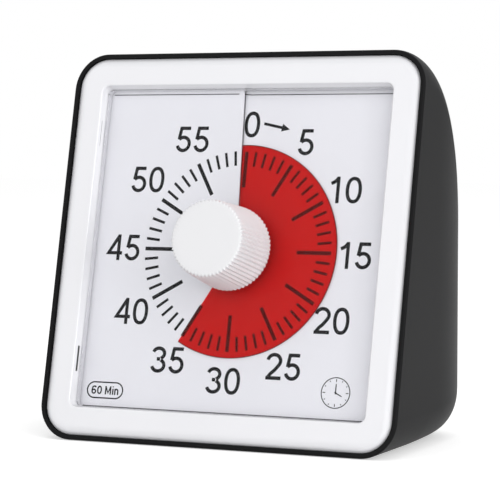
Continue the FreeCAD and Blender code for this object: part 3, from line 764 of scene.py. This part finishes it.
@dataclass
class Stroke:
    """A printed line: its middle, its width at each point, and whether it closes on itself."""

    points: list[Point]
    widths: list[float]
    closed: bool = False

    def sides(self) -> list[tuple[Point, Point]]:
        """Points to the left and right of each point, with mitred corners.

        Returns:
            A left and a right point for each point of the middle.
        """
        count, pairs = len(self.points), []
        for i, ((x, y), wide) in enumerate(zip(self.points, self.widths)):
            ways = []
            for a, b in ((i - 1, i), (i, i + 1)):
                if self.closed or (a >= 0 and b < count):
                    (ax, ay), (bx, by) = self.points[a % count], self.points[b % count]
                    length = hypot(bx - ax, by - ay)
                    ways.append(((bx - ax) / length, (by - ay) / length))
            mx, my = sum(w[0] for w in ways) / len(ways), sum(w[1] for w in ways) / len(ways)
            square = max(mx * mx + my * my, 0.25)
            nx, ny = -my / square * wide / 2, mx / square * wide / 2
            pairs.append(((x + nx, y + ny), (x - nx, y - ny)))
        return pairs


def bow(cx: float, cy: float, rx: float, ry: float, start: float, end: float, steps: int = 14) -> list[Point]:
    """Points on part of an ellipse, from one angle in degrees to another."""
    turns = [radians(start + (end - start) * i / steps) for i in range(steps + 1)]
    return [(cx + rx * cos(a), cy + ry * sin(a)) for a in turns]


def opened(*lines: list[Point]) -> list[Path]:
    """Lines that don't close on themselves."""
    return [(line, False) for line in lines]


class Letter:
    """A plain sans character of height 1, given by the middles of its strokes."""

    ADVANCE = 0.75
    ADVANCES = {" ": 0.3, "1": 0.72, "M": 0.96, "i": 0.3, "n": 0.62}
    SIDE = 0.04
    MID = 0.32

    def __init__(self, sign: str) -> None:
        """Pick a character."""
        self.sign = sign
        self.advance = self.ADVANCES.get(sign, self.ADVANCE)

    def zero(self, half: float) -> list[Point]:
        """The ring of a 0, a little squarer than an ellipse.

        Args:
            half: Half the stroke's width against the height.

        Returns:
            The ring's points.
        """
        ring = []
        for i in range(40):
            c, s = cos(2 * pi * i / 40), sin(2 * pi * i / 40)
            ring.append((self.MID + (self.MID - half) * copysign(abs(c) ** 0.86, c),
                         0.5 + (0.5 - half) * copysign(abs(s) ** 0.92, s)))
        return ring

    def paths(self, half: float) -> list[Path]:
        """The strokes' middles.

        Args:
            half: Half the stroke's width against the height.

        Returns:
            Each middle with whether it closes on itself.
        """
        low, high = half, 1 - half
        mid, reach = self.MID, self.MID - half
        match self.sign:
            case "0":
                return [(self.zero(half), True)]
            case "1":
                flag = [(0.13, 0.74), (0.26, 0.80), (0.36, 0.89), (0.41, 0.97)]
                return opened([(0.41, 0), (0.41, 1)], flag)
            case "2":
                top = bow(mid, 0.70, reach, high - 0.70, 172, -38)
                return opened(top + [(0.36, 0.36), (0.2, 0.22), (0.09, low)], [(0.02, low), (0.63, low)])
            case "3":
                return opened(bow(0.31, 0.735, 0.235, high - 0.735, 165, -65),
                              bow(0.31, 0.285, reach, 0.285 - low, 68, -168), [(0.24, 0.525), (0.38, 0.525)])
            case "4":
                return opened([(0.64, 0.285), (0.06, 0.285), (0.46, 0.93)], [(0.48, 0), (0.48, 1)])
            case "5":
                return opened([(0.58, high), (0.19, high), (0.115, 0.50)],
                              bow(0.31, 0.325, reach, 0.325 - low, 138, -165, 20))
            case "6":
                tail = [(half, 0.34), (half + 0.02, 0.6), (0.16, 0.85), (0.33, high), (0.5, 0.9),
                        (0.58, 0.78)]
                return [(bow(mid, 0.31, reach, 0.31 - low, 0, 342, 20), True), (tail, False)]
            case "M":
                return opened([(0.1, 0), (0.1, 1)], [(0.74, 0), (0.74, 1)],
                              [(0.1, 0.94), (0.42, 0.2), (0.74, 0.94)])
            case "i":
                return opened([(0.1, 0), (0.1, 0.72)], [(0.1, 0.88), (0.1, 1)])
            case "n":
                return opened([(0.08, 0), (0.08, 0.72)], bow(0.27, 0.46, 0.19, 0.2, 180, 0) + [(0.46, 0)])
        return []


@dataclass
class Dial:
    """The printed card and the film disc, in millimetres and degrees."""

    shop: Workshop
    card_low: float = 7.2
    card_t: float = 0.5
    film_gap: float = 0.35
    film_t: float = 0.25
    film_r: float = 39.3
    hub_r: float = 8.05
    shown: float = 210.0
    slit_lead: float = 2.5
    film_steps: int = 144
    film_line: float = 0.22
    tick_out: float = 36.9
    tick_long: float = 13.3
    tick_short: float = 5.4
    tick_wide: float = 1.4
    tick_thin: float = 1.0
    number_half_w: float = 45.9
    number_half_h: float = 47.2
    number_mid: Point = (0.1, -0.2)
    number_turn: float = 0.5
    number_h: float = 9.7
    number_wide: float = 1.3
    nudges: dict[int, Point] = field(
        default_factory=lambda: {0: (0.8, 0.1), 50: (0.9, 2.2), 55: (0.8, 0.3)})
    fine_line: float = 0.34
    # The next three sizes place the painted shadow line along the card's top and bottom edges.
    border_half_w: float = 56.4
    border_top: float = 58.2
    border_low: float = 59.1
    arrow_tail: Point = (5.9, 47.4)
    arrow_tip: Point = (16.3, 45.2)
    arrow_shaft: float = 1.05
    arrow_head: float = 3.2
    arrow_head_w: float = 2.9
    arrow_point: float = 0.02
    badge_mid: Point = (-47.7, -53.1)
    badge_half: float = 4.4
    badge_r: float = 2.9
    badge_line: float = 0.5
    badge_word_h: float = 3.1
    badge_word_line: float = 0.54
    clock_mid: Point = (43.4, -49.6)
    clock_r: float = 5.4
    clock_ticks: Triple = (0.5, 1.0, 1.5)
    clock_tick_w: float = 0.3
    clock_hands: tuple[tuple[Point, Point], ...] = (((0.0, -0.5), (0.0, 3.2)), ((-0.4, 0.2), (2.4, -1.2)))
    clock_hand_w: Point = (0.45, 0.35)
    ink_lift: float = 0.03
    ink_t: float = 0.03

    @property
    def pitch(self) -> float:
        """How far card and film climb in a turn."""
        return 2 * self.film_gap + self.card_t + self.film_t

    def card_top(self, x: float, y: float) -> float:
        """Depth of the card's front at a point.

        Args:
            x: Millimetres to the right.
            y: Millimetres up.

        Returns:
            The depth in millimetres.
        """
        turn = (degrees(atan2(x, y)) + self.slit_lead) % 360.0 - self.slit_lead
        return -self.card_low + self.card_t / 2 + self.pitch * turn / 360.0

    def build(self) -> None:
        """Build the film and all the printing."""
        self.build_film()
        self.print_ticks()
        self.print_numbers()
        self.print_arrow()
        self.print_badge()
        self.print_clock_mark()
        self.print_border()

    def band(self, name: str, inner: float, outer: float, finish: str) -> bpy.types.Object:
        """A band of the film's spiral sheet.

        Args:
            name: The piece's name.
            inner: Its inner radius.
            outer: Its outer radius.
            finish: Its finish's name.

        Returns:
            The new piece.
        """
        rings = []
        middle = -self.card_low + self.pitch / 2
        for i in range(self.film_steps + 1):
            turn = self.shown - 360.0 + 360.0 * i / self.film_steps
            a = radians(turn)
            z = middle + self.pitch * turn / 360.0
            low, high = z - self.film_t / 2, z + self.film_t / 2
            spots = ((inner, low), (outer, low), (outer, high), (inner, high))
            rings.append([self.shop.face.at(r * sin(a), r * cos(a), h) for r, h in spots])
        mesh = mesh_of(self.shop.lofted(rings, False, True), name)
        return self.shop.add(name, mesh, finish, Body.DISC, 30.0)

    def build_film(self) -> None:
        """The red film, with a dark line round its edge."""
        film = self.band("time_disc_film", self.hub_r, self.film_r - self.film_line, "red_film")
        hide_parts("time_disc")
        edge = self.band("time_disc_edge", self.film_r - self.film_line, self.film_r, "film_edge")

    def ink(self, name: str, strokes: list[Stroke], finish: str = "print_ink") -> None:
        """Print strokes on the card as thin closed solids.

        Args:
            name: The piece's name.
            strokes: The strokes, in millimetres.
            finish: The ink's finish.
        """
        edit = bmesh.new()
        low = self.ink_lift - self.ink_t
        for stroke in strokes:
            rows = []
            for left, right in stroke.sides():
                spots = ((left, self.ink_lift), (right, self.ink_lift), (right, low), (left, low))
                rows.append([edit.verts.new(self.shop.face.at(x, y, self.card_top(x, y) + lift))
                             for (x, y), lift in spots])
            for a, b in zip(rows, rows[1:] + (rows[:1] if stroke.closed else [])):
                self.shop.bridge(edit, a, b)
            if not stroke.closed:
                edit.faces.new(rows[0])
                edit.faces.new(rows[-1])
        piece = self.shop.add(name, mesh_of(edit, name), finish, Body.HOUSING)

    def print_ticks(self) -> None:
        """Sixty ticks, every fifth one long."""
        strokes = []
        for minute in range(60):
            a = radians(6.0 * minute)
            long = minute % 5 == 0
            inner = self.tick_out - (self.tick_long if long else self.tick_short)
            ends = [(r * sin(a), r * cos(a)) for r in (self.tick_out, inner)]
            strokes.append(Stroke(ends, [self.tick_wide if long else self.tick_thin] * 2))
        self.ink("dial_ticks", strokes)

    def print_words(self, name: str, words: str, x: float, y: float, height: float, wide: float) -> None:
        """Print characters centred on a point.

        Args:
            name: The piece's name.
            words: The characters.
            x: The middle's x.
            y: The middle's y.
            height: Height of a numeral.
            wide: Width of the stroke.
        """
        letters = [Letter(word) for word in words]
        total = sum(letter.advance for letter in letters) * height
        at = x - total / 2
        strokes = []
        for letter in letters:
            for points, closed in letter.paths(wide / height / 2):
                spots = [(at + (px + Letter.SIDE) * height, y + (py - 0.5) * height) for px, py in points]
                strokes.append(Stroke(spots, [wide] * len(spots), closed))
            at += letter.advance * height
        self.ink(name, strokes)

    def print_numbers(self) -> None:
        """The numbers 0 to 55 round the ticks."""
        for minute in range(0, 60, 5):
            a = radians(6.0 * minute + self.number_turn)
            (mx, my), (nx, ny) = self.number_mid, self.nudges.get(minute, (0.0, 0.0))
            self.print_words(f"number_{minute}", str(minute), mx + nx + self.number_half_w * sin(a),
                             my + ny + self.number_half_h * cos(a), self.number_h, self.number_wide)

    def print_arrow(self) -> None:
        """The arrow to the right of 0."""
        (x0, y0), (x1, y1) = self.arrow_tail, self.arrow_tip
        head = self.arrow_head / hypot(x1 - x0, y1 - y0)
        neck = (x1 + (x0 - x1) * head, y1 + (y0 - y1) * head)
        self.ink("dial_arrow", [Stroke([self.arrow_tail, neck], [self.arrow_shaft] * 2),
                                Stroke([neck, self.arrow_tip], [self.arrow_head_w, self.arrow_point])])

    def print_badge(self) -> None:
        """The pill that gives the full time."""
        (x, y), half, r = self.badge_mid, self.badge_half, self.badge_r
        turns = [radians(-90 + 10 * i) for i in range(19)]
        outline = [(x + half + r * cos(a), y + r * sin(a)) for a in turns]
        outline += [(x - half - r * cos(a), y - r * sin(a)) for a in turns]
        self.ink("badge_outline", [Stroke(outline, [self.badge_line] * len(outline), True)])
        self.print_words("badge_words", "60 Min", x, y, self.badge_word_h, self.badge_word_line)

    def print_clock_mark(self) -> None:
        """A plain clock mark in the lower right corner."""
        (x, y), r = self.clock_mid, self.clock_r
        start, short, long = self.clock_ticks
        rim = [(x + r * cos(radians(6 * i)), y + r * sin(radians(6 * i))) for i in range(60)]
        strokes = [Stroke(rim, [self.fine_line] * 60, True)]
        for i in range(12):
            a = radians(30 * i)
            inner = r - (long if i % 3 == 0 else short)
            ends = [(x + s * cos(a), y + s * sin(a)) for s in (r - start, inner)]
            strokes.append(Stroke(ends, [self.clock_tick_w] * 2))
        for hand in self.clock_hands:
            strokes.append(Stroke([(x + dx, y + dy) for dx, dy in hand], list(self.clock_hand_w)))
        self.ink("clock_mark", strokes)

    def print_border(self) -> None:
        """A painted shadow: a thin dark line where the card's top and bottom edges meet the frame, standing
        in for the shade in the gap between them.
        """
        strokes = []
        for y in (self.border_top, -self.border_low):
            points = [(self.border_half_w * (i / 12 - 1), y) for i in range(25)]
            strokes.append(Stroke(points, [self.fine_line] * 25))
        self.ink("card_gap_painted_shadow", strokes, "gap_painted_shadow")


@dataclass
class Knob:
    """The fluted knob, in millimetres."""

    shop: Workshop
    base_r: float = 15.6
    front_r: float = 14.1
    front: float = 19.86
    front_crown: float = 0.05
    front_rings: tuple[float, ...] = (11.0, 8.0, 4.0, 1.2)
    foot: float = 2.0
    foot_rows: tuple[Triple, ...] = ((0.35, 0.5, 0.0), (0.1, 0.9, 0.15))
    side_start: float = 0.4
    side_steps: int = 6
    round: float = 1.1
    round_steps: int = 7
    fade_power: float = 0.7
    flutes: int = 60
    flute_depth: float = 0.7
    per_flute: int = 6
    skin: float = 2.2
    roof: float = 3.0
    hollow_draw: float = 0.5
    roof_in: float = 1.4
    roof_drop: float = 0.6
    boss_r: float = 6.5
    boss_foot: float = 4.3
    boss_edge: float = 0.2
    bore_r: float = 3.0
    bore_end: float = 12.0

    def fluted(self, r: float, depth: float, z: float) -> Ring:
        """One ring of the knob's side.

        Args:
            r: Radius over the ridges.
            depth: Depth of the flutes.
            z: Its depth out of the dial.

        Returns:
            The ring's points.
        """
        ring = []
        count = self.flutes * self.per_flute
        for i in range(count):
            wave = abs(2 * (i % self.per_flute) / self.per_flute - 1)
            radius = r - depth * (1 - wave)
            a = 2 * pi * i / count
            ring.append(self.shop.face.at(radius * cos(a), radius * sin(a), z))
        return ring

    def outside(self) -> list[Ring]:
        """The knob's side and front, from the foot to the middle.

        Returns:
            The rings.
        """
        rim = self.front - self.round - self.front_crown
        start = self.side_start - self.foot
        rings = [self.fluted(self.base_r - inset, self.flute_depth * share, -self.foot + rise)
                 for inset, share, rise in self.foot_rows]
        for i in range(self.side_steps + 1):
            share = i / self.side_steps
            rings.append(self.fluted(self.base_r - (self.base_r - self.front_r) * share, self.flute_depth,
                                     start + (rim - start) * share))
        for i in range(1, self.round_steps + 1):
            a = pi / 2 * i / self.round_steps
            fade = cos(a) ** self.fade_power if i < self.round_steps else 0.0
            rings.append(self.fluted(self.front_r - self.round * (1 - cos(a)), self.flute_depth * fade,
                                     rim + self.round * sin(a)))
        count = self.flutes * self.per_flute
        rings += [self.shop.circle(r, self.front - self.front_crown * r / self.front_r, count)
                  for r in self.front_rings]
        return rings

    def inside(self) -> list[Point]:
        """The hollow and the boss with its bore, from the foot on.

        Returns:
            Radius and depth for each ring.
        """
        wall, roof = self.base_r - self.skin, self.front - self.roof
        return [(wall, -self.foot), (wall - self.hollow_draw, roof - self.roof_drop),
                (wall - self.roof_in, roof), (self.boss_r, roof),
                (self.boss_r, -self.boss_foot + self.boss_edge),
                (self.boss_r - self.boss_edge, -self.boss_foot), (self.bore_r, -self.boss_foot),
                (self.bore_r, self.bore_end)]

    def build(self) -> None:
        """Build the knob as one closed form, hollow behind."""
        shop, count = self.shop, self.flutes * self.per_flute
        edit = shop.lofted(self.outside(), False, False)
        skin = list(edit.verts)
        edit.faces.new(skin[-count:])
        previous = skin[:count]
        for r, z in self.inside():
            row = [edit.verts.new(p) for p in shop.circle(r, z, count)]
            shop.bridge(edit, previous, row)
            previous = row
        edit.faces.new(previous)
        piece = shop.add("knob_finished", mesh_of(edit, "knob_skin"), "white_knob", Body.KNOB, 40.0)
        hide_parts("knob")


@dataclass
class Casing:
    """The black housing, its door and switch. The housing's curve is in millimetres and degrees."""

    shop: Workshop
    width: float = 140.0
    slope_height: float = 145.0
    corner: float = 13.0
    back_corner: float = 16.0
    back_reach: float = 66.6
    back_power: float = 2.1
    turn_power: float = 2.5
    waist: float = 24.0
    heel: float = 20.0
    side_draw: float = 13.0
    side_start: float = 26.0
    start_gap: float = 0.2
    cuts: int = 44
    sweep: float = 78.0
    snap: float = 0.45
    edge: float = 0.25
    switch_edge: float = 0.2

    @property
    def back_start(self) -> float:
        """Depth behind the dial's middle at which the back starts to curve."""
        return self.slope_height / 2 * self.shop.face.out.z + self.start_gap

    def turned(self, share: float) -> float:
        """How far a rounded corner has turned in, from 0 to 1."""
        share = min(max(share, 0.0), 1.0)
        return 1 - (1 - share ** self.turn_power) ** (1 / self.turn_power)

    def section(self, y: float) -> tuple[float, float, float, float]:
        """The housing's cross-section at one depth behind the dial's middle.

        Args:
            y: The depth.

        Returns:
            Half its width, its lowest and highest points, and its corner radius.
        """
        height = self.slope_height * self.shop.face.up.z
        start = self.back_start
        blend = min(max((y - start) / (self.back_reach - start), 0.0), 1.0)
        drop = sqrt(1 - blend ** self.back_power) ** (2 / self.back_power)
        top = self.waist + (height - self.waist) * drop
        low = self.waist * self.turned((y - self.back_reach + self.heel) / self.heel)
        draw = self.turned((y - self.side_start) / (self.back_reach - self.side_start))
        half = self.width / 2 - self.side_draw * draw
        corner = self.corner + (self.back_corner - self.corner) * blend
        return half, low, top, min(corner, (top - low) / 2 - 0.5)

    def snapped(self, point: Vector) -> Vector:
        """Move a point that lies near the outer curve onto it.

        Args:
            point: A point of the housing's mesh in metres.

        Returns:
            The point itself, or its place on the curve.
        """
        y = (point.y - self.shop.face.origin.y) / MM
        half, low, top, corner = self.section(y)
        x, z = point.x / MM, point.z / MM
        side = 1 if x >= 0 else -1
        cx, cz = half - corner, (low + corner if z < (low + top) / 2 else top - corner)
        dx, dz = abs(x) - cx, z - cz
        outward = dz < 0 if z < (low + top) / 2 else dz > 0
        spot = None
        if dx > 0 and outward:
            reach = hypot(dx, dz)
            if abs(reach - corner) < self.snap:
                spot = (side * (cx + dx * corner / reach), cz + dz * corner / reach)
        elif abs(abs(x) - half) < self.snap and low + corner <= z <= top - corner:
            spot = (side * half, z)
        elif abs(x) <= cx:
            spot = next(((x, level) for level in (top, low) if abs(z - level) < self.snap), None)
        return point if spot is None else Vector((spot[0], y, spot[1])) * MM + self.shift()

    def shift(self) -> Vector:
        """From the dial's middle to the frame's origin."""
        return Vector((0, self.shop.face.origin.y, 0))

    def build(self) -> None:
        """Dress the housing and what is on its back."""
        self.build_shell()
        self.shop.rounded_copy("battery_door", "black_housing", Body.DOOR, self.edge)
        self.shop.rounded_copy("switch_slider", "black_parts", Body.SWITCH, self.switch_edge)

    def build_shell(self) -> None:
        """The housing with its curve finely divided and its sharp edges broken."""
        edit = self.shop.copied("rear_housing", 0.4)
        start = self.back_start
        for i in range(1, self.cuts):
            a = radians(self.sweep * i / self.cuts)
            y = start + (self.back_reach - start) * sin(a) ** (2 / self.back_power)
            bmesh.ops.bisect_plane(edit, geom=edit.verts[:] + edit.edges[:] + edit.faces[:], dist=1e-6,
                                   plane_co=Vector((0, y * MM, 0)) + self.shift(), plane_no=(0, 1, 0))
        first = start * MM + self.shift().y
        for vert in edit.verts:
            if vert.co.y > first + 1e-5:
                vert.co = self.snapped(vert.co)
        mesh = mesh_of(edit, "rear_housing_finished")
        piece = self.shop.add("rear_housing_finished", mesh, "black_housing", Body.HOUSING, 32.0)
        step = piece.modifiers.new("edges", "BEVEL")
        step.width = self.edge * MM
        step.segments = 2
        step.limit_method = "ANGLE"
        step.angle_limit = self.shop.sharp
        step.use_clamp_overlap = True
        level = piece.modifiers.new("normals", "WEIGHTED_NORMAL")
        level.keep_sharp = True
        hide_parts("rear_housing")


@dataclass
class Works:
    """The timer's CAD nodes: the movement, the board, the battery and what the other classes replace."""

    shop: Workshop

    def build(self) -> None:
        """Give every CAD node its own finish."""
        for entry in self.shop.frame["record"]["subparts"]:
            self.shop.dress_node(entry["node"], entry["material_slot"])


@dataclass(frozen=True)
class Panel:
    """A square soft light that faces the timer: its place and side in metres, its power in watts."""

    name: str
    place: Triple
    size: float
    power: float


@dataclass
class Studio:
    """Floor, lights and camera, in metres."""

    shop: Workshop
    eye: Triple = (0.3368, -0.7366, 0.1117)
    look: Triple = (-0.4173, 0.9072, -0.0529)
    lens: float = 158.4
    sensor: float = 36.0
    clip: Point = (0.01, 20.0)
    world_strength: float = 0.62
    floor_lift: float = 0.45
    floor_tones: Point = (0.86, 0.88)
    floor_waves: float = 60.0
    floor_half: float = 4.0
    floor_drop: float = 0.0002
    panels: tuple[Panel, ...] = (
        Panel("key_panel", (1.15, -1.1, 0.7), 1.2, 7.0), Panel("side_panel", (1.45, -0.5, 0.22), 0.8, 9.0),
        Panel("fill_panel", (-0.9, -1.2, 0.5), 1.2, 3.0), Panel("low_panel", (0.25, -1.2, 0.12), 0.7, 2.0),
        Panel("top_panel", (0.1, 0.2, 1.4), 1.0, 3.0))

    def build(self) -> None:
        """Build the studio."""
        self.build_floor()
        self.build_world()
        self.build_lights()
        self.build_camera()

    def build_floor(self) -> None:
        """A wide pale floor that stays under the base."""
        half = self.floor_half
        mesh = bpy.data.meshes.new("floor")
        mesh.from_pydata([(-half, -half, 0), (half, -half, 0), (half, half, 0), (-half, half, 0)], [],
                         [(0, 1, 2, 3)])
        floor = linked("floor", mesh)
        shader = Shader(bpy.data.materials.new("pale_floor"))
        dark, pale = ((tone, tone, tone, 1) for tone in self.floor_tones)
        tint = shader.node("ShaderNodeMix", {"data_type": "RGBA"},
                           {0: shader.noise(self.floor_waves), 6: dark, 7: pale})
        lit = shader.node("ShaderNodeBsdfDiffuse", inputs={"Color": tint.outputs[2]})
        glow = shader.node("ShaderNodeEmission", inputs={
            "Color": (1, 1, 1, 1), "Strength": self.floor_lift})
        both = shader.node("ShaderNodeAddShader", inputs={0: lit.outputs[0], 1: glow.outputs[0]})
        surface = shader.node("ShaderNodeMixShader", inputs={
            0: shader.looked_at(), 1: lit.outputs[0], 2: both.outputs[0]})
        mesh.materials.append(shader.close(surface.outputs[0]))
        floor.location.z = -self.floor_drop
        floor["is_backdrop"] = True

    def build_world(self) -> None:
        """A pale world that the camera and the gloss see as white."""
        world = bpy.data.worlds.new("studio")
        bpy.context.scene.world = world
        shader = Shader(world)
        light, white = (shader.node("ShaderNodeBackground", inputs={
            "Color": (1, 1, 1, 1), "Strength": strength}) for strength in (self.world_strength, 1.0))
        surface = shader.node("ShaderNodeMixShader", inputs={
            0: shader.looked_at(), 1: light.outputs[0], 2: white.outputs[0]})
        shader.close(surface.outputs[0])

    def build_lights(self) -> None:
        """Soft panels round the timer, all turned to its middle."""
        lo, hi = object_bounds()
        middle = (lo + hi) / 2
        for panel in self.panels:
            lamp = bpy.data.lights.new(panel.name, "AREA")
            lamp.size = panel.size
            lamp.energy = panel.power
            holder = linked(panel.name, lamp)
            holder.location = panel.place
            holder.rotation_euler = (middle - Vector(panel.place)).to_track_quat("-Z", "Y").to_euler()

    def build_camera(self) -> None:
        """The camera at the photograph's viewing angle."""
        data = bpy.data.cameras.new("camera")
        data.sensor_width = self.sensor
        data.lens = self.lens
        data.clip_start, data.clip_end = self.clip
        holder = linked("camera", data)
        holder.location = self.eye
        holder.rotation_mode = "QUATERNION"
        holder.rotation_quaternion = Vector(self.look).to_track_quat("-Z", "Y")
        bpy.context.scene.camera = holder


def main() -> None:
    """Build the timer, piece by piece."""
    logging.basicConfig(level=logging.INFO, format="%(message)s")
    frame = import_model()
    bpy.context.scene.view_settings.view_transform = "Standard"
    shop = Workshop(frame, Palette())
    Works(shop).build()
    Casing(shop).build()
    Bezel(shop).build()
    Dial(shop).build()
    Knob(shop).build()
    Studio(shop).build()


if __name__ == "__main__":
    main()
